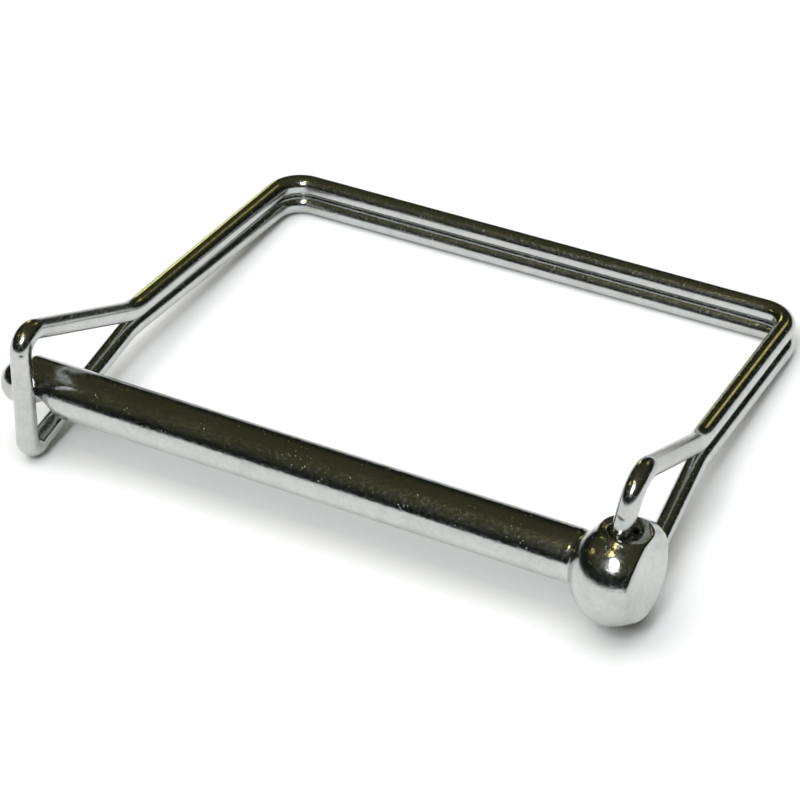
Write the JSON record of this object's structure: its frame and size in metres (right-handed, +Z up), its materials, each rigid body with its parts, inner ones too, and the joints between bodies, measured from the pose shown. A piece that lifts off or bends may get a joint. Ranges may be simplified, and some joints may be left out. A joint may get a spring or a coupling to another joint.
{
  "type": "hitch pin lock",
  "caption": "Steel ball-headed pin locked by a sprung square wire bail: the bail pivots in the head and its loop snaps over the notched tip.",
  "frame": {"origin": "on the table under the middle of the lock: the bottom centre of its bounding box", "axes": "X along the pin, +X towards the ball head; +Y from the pin towards the back of the bail; +Z up. The lock lies as it does on a table, on the wire bend under its head and the back of its bail, with the bottom of its loop just above it, so the bail slopes 5.9 degrees down towards +Y."},
  "size_m": [0.0838, 0.06, 0.0197],
  "materials": {
    "pin_plating": "bright zinc plate over turned steel, fine speckle and draw marks",
    "wire_plating": "bright zinc plate over drawn spring wire"
  },
  "bodies": {
    "bail": {"bail_upper_arm": "wire_plating", "bail_lower_arm": "wire_plating"},
    "pin": {"lock_pin": "pin_plating"},
    "loop": {"bail_loop": "wire_plating"}
  },
  "joints": [
    {"name": "pin_swing", "type": "hinge", "parent": "bail", "child": "pin", "pos_m": [0.03838, -0.02404, 0.00802], "axis": [0, 0.1028, 0.9947], "range_deg": [0, 180]},
    {"name": "loop_spring", "type": "hinge", "parent": "bail", "child": "loop", "pos_m": [-0.0436, 0.02819, 0.00263], "axis": [0, -0.1028, -0.9947], "range_deg": [0, 8], "stiffness_Nm_per_rad": 2}
  ]
}
